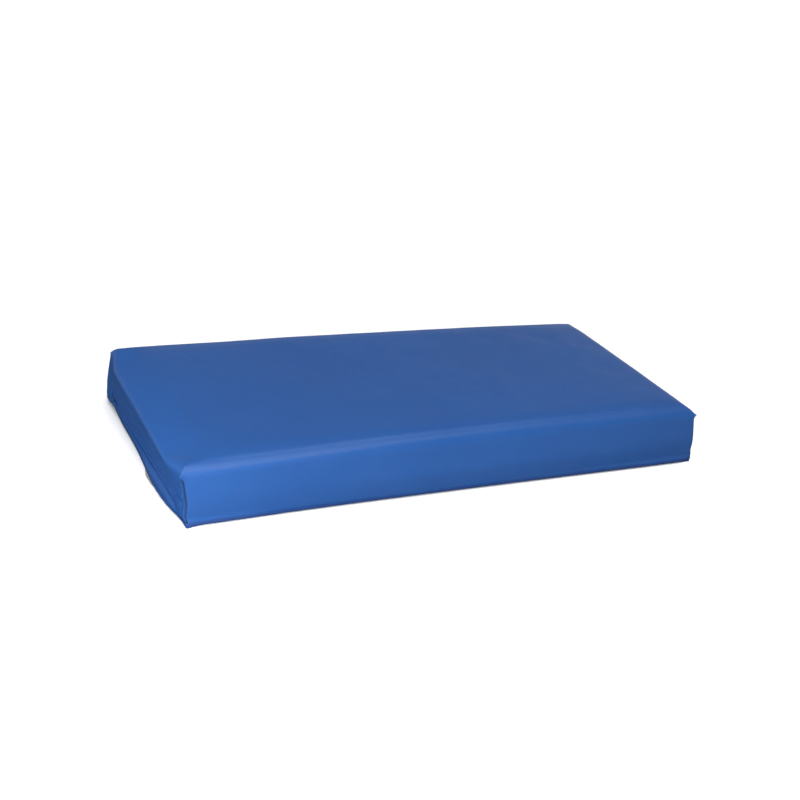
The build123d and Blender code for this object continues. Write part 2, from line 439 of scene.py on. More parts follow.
def settle(settings, point):
    """Moves a point of the soft cover to where the pad has settled.

    The base stays where the floor holds it. Above the zip the top leans a little at each
    corner, as a foam block does once its cover has been pulled over it.
    """
    u = 0.5 + point.x / (2 * COVER_HIGH.x)
    v = 0.5 + point.y / (2 * COVER_HIGH.y)
    rise = max(0.0, (point.z - settings.lean_start) / (COVER_HIGH.z - settings.lean_start))
    rise = min(rise, MOST_RISE) ** RISE_CURVE
    moved = point.copy()
    for lean, share in (
        (settings.lean_front_left, (1 - u) * (1 - v)),
        (settings.lean_front_right, u * (1 - v)),
        (settings.lean_back_right, u * v),
        (settings.lean_back_left, (1 - u) * v),
    ):
        moved += Vector(lean) * share * rise
    moved.z += settings.crown * (1 - (2 * u - 1) ** 2) * rise
    return moved


def tuck_under(settings, point):
    """Rolls the foot of the walls inwards, as a sewn edge curls under a soft pad."""
    radius = settings.foot_radius
    height = max(0.0, point.z - UNDERSIDE_LOW.z)
    if height >= radius:
        return point
    inset = radius - math.sqrt(max(0.0, radius ** 2 - (radius - height) ** 2))
    moved = point.copy()
    for axis in (0, 1):
        beside = COVER_HIGH[1 - axis] - abs(point[1 - axis])
        near_wall = 1 - smooth_step(ON_FACE, TUCK_DEPTH, COVER_HIGH[axis] - abs(point[axis]))
        share = smooth_step(0, TUCK_FADE, beside) * near_wall
        moved[axis] -= math.copysign(inset * share, point[axis])
    return moved


def flare_foot(settings, point, loose=True):
    """Lets the loose strip of wall below the zip, and the foot beside it, stand out.

    What lies inside the cover follows it in, but not out.
    """
    from_end, from_front = point.x - COVER_LOW.x, point.y - COVER_LOW.y
    low = 1 - smooth_step(FOOT_FULL, FOOT_GONE, point.z)
    at_end = 1 - smooth_step(ON_FACE, FOOT_DEPTH, from_end)
    at_front = 1 - smooth_step(ON_FACE, FOOT_DEPTH, from_front)
    along = point.y / COVER_HIGH.y
    out = settings.flare * sum(
        share * bell(along - centre, width) for centre, width, share in END_FOOT)
    moved = point.copy()
    if not loose:
        moved.x -= (min(0.0, out) * FOAM_FOLLOW - FOAM_GAP) * low * at_end
        return moved
    moved.x -= out * low * at_end
    from_right = COVER_HIGH.x - point.x
    corner = bell(from_end, FRONT_LEFT_WIDTH) + bell(from_right, FRONT_RIGHT_WIDTH)
    moved.y -= FRONT_FOOT * settings.flare * corner * low * at_front
    # The front right corner's foot is drawn in
    drawn = bell(from_right, FRONT_RIGHT_DRAW_WIDTH) * bell(from_front, FRONT_RIGHT_DRAW_WIDTH)
    moved.x -= FRONT_RIGHT_DRAW * drawn * low
    moved.y += FRONT_RIGHT_DRAW * drawn * low
    return moved


def soften_edge(point, axis, radius, share):
    """Draws the fold between the top and one pair of walls in to a larger radius."""
    from_wall = max(0.0, COVER_HIGH[axis] - abs(point[axis]))
    from_top = max(0.0, COVER_HIGH.z - point.z)
    if from_wall > radius or from_top > radius:
        return point
    out = Vector((radius - from_wall, radius - from_top))
    if out.length <= radius:
        return point
    drawn = out.lerp(out * (radius / out.length), share)
    moved = point.copy()
    moved[axis] += math.copysign(drawn.x - out.x, point[axis])
    moved.z += drawn.y - out.y
    return moved


LENGTH = {"unit": "LENGTH", "subtype": "DISTANCE"}
SHIFT = {"unit": "LENGTH", "subtype": "TRANSLATION"}


class PadSettings(bpy.types.PropertyGroup):
    """Sizes and colours of the pad's visual model."""
    edge_radius: bpy.props.FloatProperty(
        name="Edge radius", description="How softly the top folds into the walls",
        default=0.022, **LENGTH)
    cell: bpy.props.FloatProperty(
        name="Mesh cell", description="Size of the cover's mesh away from the edges",
        default=0.016, **LENGTH)
    pressure: bpy.props.FloatProperty(
        name="Filling pressure", description="How hard the foam fills the cover", default=4.0)
    fullness: bpy.props.FloatProperty(
        name="Fullness", description="Furthest that the filled cover may swell",
        default=0.005, **LENGTH)
    seam_depth: bpy.props.FloatProperty(
        name="Seam depth", description="How far the corner seams pull in",
        default=0.0055, **LENGTH)
    ear: bpy.props.FloatProperty(
        name="Ear", description="How far the seam end stands out at the top of a corner",
        default=0.006, **LENGTH)
    corner_droop: bpy.props.FloatProperty(
        name="Corner droop", description="How far the top falls away at a corner",
        default=0.006, **LENGTH)
    foot_radius: bpy.props.FloatProperty(
        name="Foot radius", description="How softly the walls curl under at the base",
        default=0.009, **LENGTH)
    crown: bpy.props.FloatProperty(
        name="Crown", description="How much the middle of the top stands above its ends",
        default=0.0045, **LENGTH)
    flare: bpy.props.FloatProperty(
        name="Flare", description="How far the loose strip below the zip stands out",
        default=0.012, **LENGTH)
    end_radius: bpy.props.FloatProperty(
        name="Zip end radius", description="Radius that the top's fold above the zip relaxes to",
        default=0.070, **LENGTH)
    side_radius: bpy.props.FloatProperty(
        name="Side radius", description="Radius that the top's fold along each side relaxes to",
        default=0.030, **LENGTH)
    lean_start: bpy.props.FloatProperty(
        name="Lean start", description="Height above which the pad's top leans",
        default=0.045, **LENGTH)
    lean_front_left: bpy.props.FloatVectorProperty(
        name="Front left lean", description="How the top sits at that corner",
        default=(-0.016, 0.003, -0.005), **SHIFT)
    lean_front_right: bpy.props.FloatVectorProperty(
        name="Front right lean", description="How the top sits at that corner",
        default=(-0.0095, 0.0125, 0.0038), **SHIFT)
    lean_back_right: bpy.props.FloatVectorProperty(
        name="Back right lean", description="How the top sits at that corner",
        default=(0.0055, -0.006, -0.004), **SHIFT)
    lean_back_left: bpy.props.FloatVectorProperty(
        name="Back left lean", description="How the top sits at that corner",
        default=(0.007, 0.0005, 0.005), **SHIFT)
    stitch_pitch: bpy.props.FloatProperty(
        name="Stitch pitch", description="Distance from one stitch to the next",
        default=0.0045, **LENGTH)
    vinyl_dark: bpy.props.StringProperty(
        name="Vinyl, darker", description="sRGB hex of the cover where it is darkest",
        default="#16417c")
    vinyl_light: bpy.props.StringProperty(
        name="Vinyl, lighter", description="sRGB hex of the cover where it is lightest",
        default="#194987")
    # Painted shade: the darker colour that the vinyl is mixed towards deep in a corner seam
    painted_shade_in_seams: bpy.props.StringProperty(
        name="Seam", description="sRGB hex of the cover deep in a corner seam",
        default="#0e2448")
    # Painted shade: the binding is coloured darker than the cover to stand for the shade where
    # the foot of the walls curls under
    binding: bpy.props.StringProperty(
        name="Binding", description="sRGB hex of the hem binding", default="#14366c")


def seam_end_height(settings):
    """Height at which a corner seam ends in its ear."""
    return COVER_HIGH.z - settings.edge_radius


def dress_corner(settings, point):
    """The sewn corner: a groove down the seam, soft lips beside it and an ear at its top."""
    side_x = math.copysign(1, point.x)
    side_y = math.copysign(1, point.y)
    from_end = COVER_HIGH.x - abs(point.x)
    from_side = COVER_HIGH.y - abs(point.y)
    along = max(from_end, from_side)
    if along > CORNER_REACH:
        return point
    outward = Vector((side_x, side_y, 0)).normalized()
    seam_end = seam_end_height(settings)
    moved = point.copy()
    droop, prop = CORNER_SHARES[int(side_x), int(side_y)]
    # The top falls away towards the corner, and takes the upper part of the walls with it
    reach = math.hypot(from_end, from_side)
    share = smooth_step(0.35 * seam_end, seam_end, point.z)
    moved.z -= settings.corner_droop * droop * bell(reach, DROOP_WIDTH) * share
    # The groove runs from the foot to the ear and fades out over the top
    below = 1 - smooth_step(seam_end - 1 * MM, seam_end + 6 * MM, point.z)
    groove = settings.seam_depth * bell(along, GROOVE_WIDTH) * below
    if side_x > 0 > side_y:
        # At the front right it starts only above the foot, which is drawn in itself
        groove *= smooth_step(6 * MM, 36 * MM, point.z)
    moved -= outward * groove
    # The seam allowance inside props the vinyl out at the end of the seam
    lift = bell(point.z - seam_end - EAR_RISE, EAR_HEIGHT) * bell(along - ON_FACE, EAR_WIDTH)
    moved += (outward * EAR_OUT + Vector((0, 0, EAR_UP))) * settings.ear * prop * lift
    return moved


def dress_cover(settings, point, normal, loose=True):
    """All the hand-sewn unevenness of the cover, then the way the pad has settled.

    Where no fold moves the point, the seams and the unevenness go into the point given, so
    that carry() takes an inner piece along only with the lean and the foot there.
    """
    beside_end = smooth_step(*FOLD_FADE, COVER_HIGH.y - abs(point.y))
    beside_side = smooth_step(*FOLD_FADE, COVER_HIGH.x - abs(point.x))
    moved = point
    if point.x < 0:
        moved = soften_edge(point, 0, settings.end_radius, FOLD_SHARE * beside_end)
    moved = soften_edge(moved, 1, settings.side_radius, FOLD_SHARE * beside_side)
    moved += dress_corner(settings, point) - point
    moved += normal * sum(noise.noise(point * waves) * height for waves, height in WANDER)
    if point.x < COVER_LOW.x + 8 * MM:
        run = PULL_END - PULL_START
        spot = Vector((point.y, point.z)) - PULL_START
        part = min(1.0, max(0.0, spot.dot(run) / run.length_squared))
        off_seam = smooth_step(0, 9 * MM, COVER_HIGH.y - abs(point.y))
        pull = (1 - part) * off_seam * bell((spot - run * part).length, PULL_WIDTH)
        moved.x -= PULL_DEPTH * pull
    return settle(settings, flare_foot(settings, tuck_under(settings, moved), loose))


def carry(settings, piece, low, high):
    """Moves a piece that lies inside the cover, between two corners, along with it."""
    middle = (low + high) / 2
    cover_middle = (COVER_LOW + COVER_HIGH) / 2
    ratio = Vector(
        (COVER_HIGH[axis] - COVER_LOW[axis]) / (high[axis] - low[axis]) for axis in range(3))
    normals = [v.normal.copy() for v in piece.data.vertices]
    for vertex, normal in zip(piece.data.vertices, normals):
        matching = (vertex.co - middle) * ratio + cover_middle
        vertex.co += dress_cover(settings, matching, normal, loose=False) - matching


def fill_with_pressure(settings, piece):
    """Fills the cover out with cloth pressure, and keeps each point near its start."""
    start = [v.co.copy() for v in piece.data.vertices]
    normals = [v.normal.copy() for v in piece.data.vertices]
    held = piece.vertex_groups.new(name="held")
    pinned = set()
    for index, point in enumerate(start):
        at_end = COVER_HIGH.x - abs(point.x) < ON_FACE
        at_side = COVER_HIGH.y - abs(point.y) < ON_FACE
        on_seam = at_end and at_side
        at_foot = point.z < COVER_LOW.z + 10 * MM
        at_zip = point.x < COVER_LOW.x + ON_FACE and abs(point.z - ZIP_Z) < 12 * MM
        if at_foot or on_seam or at_zip:
            held.add([index], 1.0, "REPLACE")
            pinned.add(index)
    cloth = piece.modifiers.new("fill", "CLOTH")
    for name, value in CLOTH_SETTINGS.items():
        setattr(cloth.settings, name, value)
    cloth.settings.uniform_pressure_force = settings.pressure
    cloth.settings.effector_weights.gravity = 0
    cloth.settings.vertex_group_mass = held.name
    cloth.collision_settings.use_self_collision = False
    cloth.point_cache.frame_start = 1
    cloth.point_cache.frame_end = CLOTH_FRAMES
    scene = bpy.context.scene
    for number in range(1, CLOTH_FRAMES + 1):
        scene.frame_set(number)
    apply_modifiers(piece)
    scene.frame_set(1)
    cap = settings.fullness
    moves = []
    for point, first, normal in zip(piece.data.vertices, start, normals):
        move = point.co - first
        inward = min(0.0, move.dot(normal))
        move -= normal * inward * INWARD_DAMPING
        if move.length > 1e-7:
            move = move.normalized() * cap * math.tanh(move.length / cap)
        moves.append(move)
    links = [[] for _ in start]
    for edge in piece.data.edges:
        first, last = edge.vertices
        links[first].append(last)
        links[last].append(first)
    # The moves are evened out, so that the close rows of the grid don't show as ripples
    for _ in range(EVENING_PASSES):
        moves = [
            move if index in pinned
            else move * (1 - EVENING_SHARE)
            + sum((moves[i] for i in near), Vector()) * (EVENING_SHARE / len(near))
            for index, (move, near) in enumerate(zip(moves, links))
        ]
    for point, first, move in zip(piece.data.vertices, start, moves):
        point.co = first + move
    piece.vertex_groups.clear()


def shade_seams(settings, piece):
    """Marks how deep in a corner seam each point lies, for the painted shade that darkens the
    vinyl's colour there.
    """
    shade = piece.data.attributes.new(SEAM_SHADE, "FLOAT", "POINT")
    seam_end = seam_end_height(settings)
    for index, vertex in enumerate(piece.data.vertices):
        point = vertex.co
        along = max(COVER_HIGH.x - abs(point.x), COVER_HIGH.y - abs(point.y))
        below = 1 - smooth_step(seam_end - 3 * MM, seam_end + 2 * MM, point.z)
        width = SHADE_WIDTH + SHADE_WIDENING * smooth_step(0, seam_end, point.z)
        shade.data[index].value = SHADE_DEPTH * bell(along, width) * below


def even_folds(piece):
    """Evens out the folds between the top and the walls, away from the corner seams."""
    folds = piece.vertex_groups.new(name="folds")
    for index, vertex in enumerate(piece.data.vertices):
        point = vertex.co
        from_end = COVER_HIGH.x - abs(point.x)
        from_side = COVER_HIGH.y - abs(point.y)
        near_fold = 1 - smooth_step(*FOLD_BAND, min(from_end, from_side))
        high = smooth_step(*FOLD_BAND, point.z)
        off_seam = smooth_step(14 * MM, 40 * MM, max(from_end, from_side))
        folds.add([index], near_fold * high * off_seam, "REPLACE")
    evened = piece.modifiers.new("evened", "SMOOTH")
    evened.vertex_group = folds.name
    evened.factor = 0.5
    evened.iterations = 10
    apply_modifiers(piece)
    piece.vertex_groups.clear()


class GYMPAD_OT_cover(bpy.types.Operator):
    """Model the vinyl cover: top and walls in one sheet, with sewn corners"""
    bl_idname = "gympad.cover"
    bl_label = "Vinyl cover"

    def execute(self, context):
        settings = context.scene.gym_pad
        radius = settings.edge_radius
        piece = start_block("cover", COVER_LOW, COVER_HIGH)
        select_where(piece, lambda a, b: min(a.z, b.z) > COVER_HIGH.z - MM, "EDGE")
        bpy.ops.mesh.bevel(offset=radius, segments=8, profile=0.5, affect="EDGES")
        near = [v * MM for v in (2.5, 5, 8, 12, 17)] + [radius + 5 * MM, 38 * MM, 52 * MM]
        foot_rows = [v * MM for v in (2, 3.5, 5.5, 8, 11, 15)]
        zip_rows = [ZIP_Z - SLOT_HALF_HEIGHT, ZIP_Z, ZIP_Z + SLOT_HALF_HEIGHT]
        wall_rows = [v * MM for v in (41, 45, 49, 53, 57, 62, 68, 75, 83, 91, 97)]
        cut_grid((
            grid_places(COVER_LOW.x, COVER_HIGH.x, near, settings.cell),
            grid_places(COVER_LOW.y, COVER_HIGH.y, near, settings.cell,
                        (-SLOT_HALF_LENGTH, SLOT_HALF_LENGTH)),
            foot_rows + zip_rows + wall_rows,
        ))
        fill_with_pressure(settings, piece)
        # The foot is open: the underside panel closes it
        delete_faces(piece, lambda c, n: c.z < COVER_LOW.z + 0.5 * MM)
        finer = piece.modifiers.new("finer", "SUBSURF")
        finer.levels = 1
        finer.render_levels = 1
        finer.boundary_smooth = "PRESERVE_CORNERS"
        apply_modifiers(piece)
        # The slot for the zip
        delete_faces(piece, lambda c, n: (
            c.x < COVER_LOW.x + 8 * MM
            and abs(c.z - ZIP_Z) < SLOT_HALF_HEIGHT - 0.2 * MM
            and abs(c.y) < SLOT_HALF_LENGTH - 0.2 * MM))
        # Marks where the vinyl gets its painted seam shade
        shade_seams(settings, piece)
        normals = [v.normal.copy() for v in piece.data.vertices]
        for point, normal in zip(piece.data.vertices, normals):
            point.co = dress_cover(settings, point.co.copy(), normal)
        even_folds(piece)
        wall = piece.modifiers.new("vinyl", "SOLIDIFY")
        wall.thickness = VINYL_THICKNESS
        wall.offset = -1
        wall.use_even_offset = False
        apply_modifiers(piece)
        smooth(piece, 60)
        # The vinyl mixes in the painted seam shade colour
        vinyl = coated_vinyl("embossed_pvc_vinyl", settings.vinyl_dark, settings.vinyl_light,
                             seam=settings.painted_shade_in_seams)
        finish_piece(piece, vinyl, PAD, "cover_vinyl", "cover_sheet")
        return {"FINISHED"}


class GYMPAD_OT_hem_binding(bpy.types.Operator):
    """Model the binding that runs round the foot of the walls and under their edge"""
    bl_idname = "gympad.hem_binding"
    bl_label = "Hem binding"

    def execute(self, context):
        settings = context.scene.gym_pad
        piece = start_block("binding", HEM_LOW, HEM_HIGH)
        leg = UNDERSIDE_LOW.x - HEM_LOW.x
        select_where(piece, lambda a, b: abs(a.z - b.z) > MM, "EDGE")
        bpy.ops.mesh.bevel(offset=3 * MM, segments=3, profile=0.5, affect="EDGES")
        select_where(piece, lambda c, n: n.z < -0.9)
        bpy.ops.mesh.inset(thickness=leg)
        bpy.ops.mesh.delete(type="FACE")
        delete_faces(piece, lambda c, n: n.z > 0.9)
        near, spacing = [6 * MM, 20 * MM], 20 * MM
        cut_grid((
            grid_places(HEM_LOW.x, HEM_HIGH.x, near, spacing),
            grid_places(HEM_LOW.y, HEM_HIGH.y, near, spacing),
            [v * MM for v in (1, 2, 3.2, 4.6, 6.2, 8)],
        ))
        for vertex in piece.data.vertices:
            point = flare_foot(settings, tuck_under(settings, vertex.co.copy()))
            share = smooth_step(3 * MM, HEM_HIGH.z, point.z)
            point.z += share * noise.noise(vertex.co * 14) * 0.8 * MM
            vertex.co = settle(settings, point)
        cloth = piece.modifiers.new("binding", "SOLIDIFY")
        cloth.thickness = 1.0 * MM
        cloth.offset = -1
        apply_modifiers(piece)
        round_edges(piece, 0.3 * MM)
        smooth(piece, 60)
        # The binding's colour is painted shade: darker than the cover, for the shade under the
        # curled foot
        vinyl = coated_vinyl("shade_darkened_binding_vinyl", settings.binding, settings.binding,
                             grain_mm=2.4, roughness=0.5)
        finish_piece(piece, vinyl, PAD, "binding_vinyl", "hem_binding")
        return {"FINISHED"}


class GYMPAD_OT_underside(bpy.types.Operator):
    """Model the pale woven panel that closes the cover underneath"""
    bl_idname = "gympad.underside"
    bl_label = "Underside panel"

    def execute(self, context):
        settings = context.scene.gym_pad
        piece = start_block("underside", UNDERSIDE_LOW, UNDERSIDE_HIGH)
        near, spacing = [8 * MM, 25 * MM], 30 * MM
        cut_grid((
            grid_places(UNDERSIDE_LOW.x, UNDERSIDE_HIGH.x, near, spacing),
            grid_places(UNDERSIDE_LOW.y, UNDERSIDE_HIGH.y, near, spacing),
            [],
        ))
        for vertex in piece.data.vertices:
            vertex.co = flare_foot(settings, vertex.co.copy())
        round_edges(piece, 0.4 * MM)
        smooth(piece)
        cloth = woven_cloth("coated_backing_cloth", "#8f8d86", "#b9b6ad", 1.6)
        finish_piece(piece, cloth, PAD, "underside_fabric", "underside_panel")
        # A short stretch of the panel's seam allowance has crept out under the zip end
        outer, front, back = HEM_LOW.x - 5 * MM, -200 * MM, 40 * MM
        across = [-604 * MM, -600 * MM]
        slip = start_block("loose_allowance", (outer, front, UNDERSIDE_LOW.z),
                           (UNDERSIDE_LOW.x + 4 * MM, back, UNDERSIDE_LOW.z + 0.8 * MM))
        spacing = 10 * MM
        cut_grid((across, grid_places(front, back, [spacing], spacing), []))
        for vertex in slip.data.vertices:
            point = vertex.co
            edge = 1 - smooth_step(outer, HEM_LOW.x + 8 * MM, point.x)
            crept = 19 * MM * bell(point.y + 88 * MM, 58 * MM)
            frayed = noise.noise(Vector((0, point.y * 40, 0))) * 2 * MM
            point.x -= edge * (crept + frayed) - 12 * MM
            point.z -= 0.3 * MM * (1 - edge)
        smooth(slip)
        finish_piece(slip, cloth, PAD, "underside_fabric")
        return {"FINISHED"}


def ease_foam(piece):
    """Presses the foam back behind the corner seams and hollows it behind the zip."""
    for vertex in piece.data.vertices:
        point = vertex.co
        along = max(COVER_HIGH.x - abs(point.x), COVER_HIGH.y - abs(point.y))
        back = 5 * MM * bell(along, 22 * MM)
        behind = 1 - smooth_step(8 * MM, 20 * MM, point.x - COVER_LOW.x)
        beside = 1 - smooth_step(20 * MM, 30 * MM, abs(point.z - ZIP_Z))
        within = 1 - smooth_step(PATCH_REACH, PATCH_REACH + 10 * MM, abs(point.y))
        hollow = 9 * MM * behind * beside * within
        point.x += hollow - math.copysign(back, point.x)
        point.y -= math.copysign(back, point.y)


class GYMPAD_OT_foam_core(bpy.types.Operator):
    """Model the two foam layers of the core"""
    bl_idname = "gympad.foam_core"
    bl_label = "Foam core"

    def execute(self, context):
        settings = context.scene.gym_pad
        for node, name, slot, foam, squeeze in (
            ("foam_base_layer", "firm_foam_block", "firm_foam",
             open_cell_foam("polyethylene_foam", "#b7bbb9", "#dcdedb", 1.2), 0),
            ("foam_top_layer", "soft_foam_block", "soft_foam",
             open_cell_foam("polyurethane_foam", "#cbb98a", "#e8dcb4", 1.6), 2 * MM),
        ):
            low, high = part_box(node)
            piece = start_block(name, low, high - Vector((0, 0, squeeze)))
            if squeeze:
                # The cover presses the soft block's top edges round
                select_where(piece, lambda a, b: min(a.z, b.z) > high.z - 3 * MM, "EDGE")
                bpy.ops.mesh.bevel(offset=40 * MM, segments=6, profile=0.5, affect="EDGES")
                bpy.ops.object.mode_set(mode="OBJECT")
            round_edges(piece, 2 * MM)
            near, spacing = [12 * MM, 36 * MM], 24 * MM
            cut_grid((
                grid_places(low.x, high.x, near, spacing),
                grid_places(low.y, high.y, near, spacing),
                grid_places(low.z, high.z, [4 * MM, 8 * MM, 12 * MM], 12 * MM),
            ))
            carry(settings, piece, Vector((low.x, low.y, FOAM_LOW.z)),
                  Vector((high.x, high.y, FOAM_HIGH.z)))
            ease_foam(piece)
            smooth(piece, 60)
            finish_piece(piece, foam, PAD, slot, node)
        return {"FINISHED"}


class GYMPAD_OT_corner_tapes(bpy.types.Operator):
    """Finish the reinforcing tapes inside the corner seams"""
    bl_idname = "gympad.corner_tapes"
    bl_label = "Corner tapes"

    def execute(self, context):
        settings = context.scene.gym_pad
        webbing = woven_cloth("cotton_tape", "#141c33", "#26345c", 1.0)
        inside, drawn_in = Vector((1.4 * MM, 1.4 * MM, 0)), 2.2 * MM
        for corner in ("front_left", "front_right", "back_left", "back_right"):
            node = "corner_tape_" + corner
            piece = copy_of_node(node, "seam_tape_" + corner)
            low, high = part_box(node)
            round_edges(piece, 0.2 * MM)
            cut_grid(([], [], grid_places(low.z, high.z, [3 * MM], 8 * MM)))
            carry(settings, piece, COVER_LOW + inside, COVER_HIGH - inside)
            for vertex in piece.data.vertices:
                vertex.co.x -= math.copysign(drawn_in, vertex.co.x)
                vertex.co.y -= math.copysign(drawn_in, vertex.co.y)
            smooth(piece)
            finish_piece(piece, webbing, PAD, "woven_tape", node)
        return {"FINISHED"}


class GYMPAD_OT_zip_tapes(bpy.types.Operator):
    """Finish the woven zip tapes and the guard strip behind the teeth"""
    bl_idname = "gympad.zip_tapes"
    bl_label = "Zip tapes"

    def execute(self, context):
        cloth = woven_cloth("zip_tape_twill", "#173667", "#1f4785", 0.9)
        guard = woven_cloth("guard_strip_cloth", "#141c33", "#22305a", 1.2)
        for node, name, slot, fabric in (
            ("zip_tape_upper", "upper_zip_tape", "zip_tape", cloth),
            ("zip_tape_lower", "lower_zip_tape", "zip_tape", cloth),
            ("zip_guard", "guard_strip", "guard_fabric", guard),
        ):
            rounded_node(node, name, 0.2 * MM, 2, fabric, PAD, slot)
        return {"FINISHED"}


class GYMPAD_OT_zip_teeth(bpy.types.Operator):
    """Model the two rows of moulded teeth and the stops at their ends"""
    bl_idname = "gympad.zip_teeth"
    bl_label = "Zip teeth"

    def execute(self, context):
        acetal = moulded_acetal("zip_acetal", "#1f4a8c")
        pitch, half_width, overlap = 3 * MM, 0.65 * MM, 0.9 * MM
        depth = (TEETH_LOW.x + TEETH_HIGH.x) / 2
        half_thick = (TEETH_HIGH.x - TEETH_LOW.x) / 2
        count = int((TEETH_HIGH.y - TEETH_LOW.y) / pitch)
        # The lower row is turned over, and lies half a pitch along from the upper one
        for row, turned, offset in (("upper", 0, 0.5), ("lower", math.pi, 1.0)):
            tooth = start_block("tooth", (-half_thick, -half_width, -overlap),
                                (half_thick, half_width, TEETH_TOP - ZIP_Z))
            select_where(tooth, lambda c, n: n.z < -0.9)
            bpy.ops.mesh.inset(thickness=0.25 * MM)
            bpy.ops.transform.translate(value=(0, 0, -0.2 * MM))
            bpy.ops.object.mode_set(mode="OBJECT")
            turn = Matrix.Rotation(turned, 4, "X")
            piece = join_copies(row + "_teeth", tooth, [
                Matrix.Translation((depth, TEETH_LOW.y + (number + offset) * pitch, ZIP_Z)) @ turn
                for number in range(count)
            ])
            smooth(piece, 30)
            finish_piece(piece, acetal, PAD, "zip_teeth", "zip_teeth_" + row)
        for node, name in (("zip_top_stops", "top_stops"), ("zip_bottom_stop", "bottom_stop")):
            rounded_node(node, name, 0.35 * MM, 2, acetal, PAD, "zip_teeth")
        return {"FINISHED"}


class GYMPAD_OT_zip_patches(bpy.types.Operator):
    """Model the vinyl patches sewn over both ends of the zip"""
    bl_idname = "gympad.zip_patches"
    bl_label = "Zip end patches"

    def execute(self, context):
        settings = context.scene.gym_pad
        vinyl = coated_vinyl("patch_vinyl", settings.vinyl_dark, settings.vinyl_light)
        for end in ("front", "back"):
            rounded_node("zip_end_patch_" + end, end + "_patch", 0.4 * MM, 3,
                         vinyl, PAD, "binding_vinyl")
        return {"FINISHED"}


class GYMPAD_OT_zip_slider(bpy.types.Operator):
    """Model the die-cast slider and its pull tab"""
    bl_idname = "gympad.zip_slider"
    bl_label = "Zip slider"

    def execute(self, context):
        enamel = enamelled_zinc("enamelled_zinc", "#1b427f", "#6d7078")
        for node, name, body in (
            ("zip_slider", "slider_casting", SLIDER),
            ("zip_pull_tab", "pull_plate", PULL_TAB),
        ):
            rounded_node(node, name, 0.25 * MM, 3, enamel, body, "slider_metal")
        return {"FINISHED"}


def stitch_row(name, places, length, thread):
    """One row of lockstitches: short rounded lengths of thread at each place."""
    deselect_all()
    bpy.ops.mesh.primitive_cylinder_add(vertices=6, radius=thread / 2, depth=length * 0.7,
                                        rotation=(0, math.pi / 2, 0))
    stitch = bpy.context.active_object
    bpy.ops.object.transform_apply(location=True, rotation=True, scale=True)
    for end in (-1, 1):
        select_where(stitch, lambda c, n: n.x * end > 0.9)
        bpy.ops.mesh.extrude_region_move(
            TRANSFORM_OT_translate={"value": (end * length * 0.15, 0, -thread * 0.35)})
        bpy.ops.transform.resize(value=(1, 0.5, 0.5))
        bpy.ops.object.mode_set(mode="OBJECT")
    piece = join_copies(name, stitch, places)
    smooth(piece, 80)
    return piece


def row_places(start, end, pitch, outward):
    """Places along a line for stitches that lie along it and face outward."""
    run = end - start
    along = run.normalized()
    up = outward.normalized()
    across = up.cross(along)
    turn = Matrix((along, across, up)).transposed().to_4x4()
    count = max(1, int(run.length / pitch))
    return [
        Matrix.Translation(start + along * pitch * (number + 0.5)) @ turn
        for number in range(count)
    ]


class GYMPAD_OT_stitching(bpy.types.Operator):
    """Model the two rows of stitches along the zip"""
    bl_idname = "gympad.stitching"
    bl_label = "Stitching"

    def execute(self, context):
        settings = context.scene.gym_pad
        pitch = settings.stitch_pitch
        length, thread = pitch * 0.72, 0.7 * MM
        face = COVER_LOW.x - 0.1 * MM
        polyester = woven_cloth("polyester_thread", "#1b3a7a", "#2a52a4", 0.6, 0.6)
        half = SLOT_HALF_LENGTH + 8 * MM
        places = []
        for offset in (-10 * MM, 10 * MM):
            ends = [Vector((face, y, ZIP_Z + offset)) for y in (-half, half)]
            places += row_places(*ends, pitch, outward=Vector((-1, 0, 0)))
        piece = stitch_row("zip_stitches", places, length, thread)
        finish_piece(piece, polyester, PAD, "woven_tape")
        return {"FINISHED"}


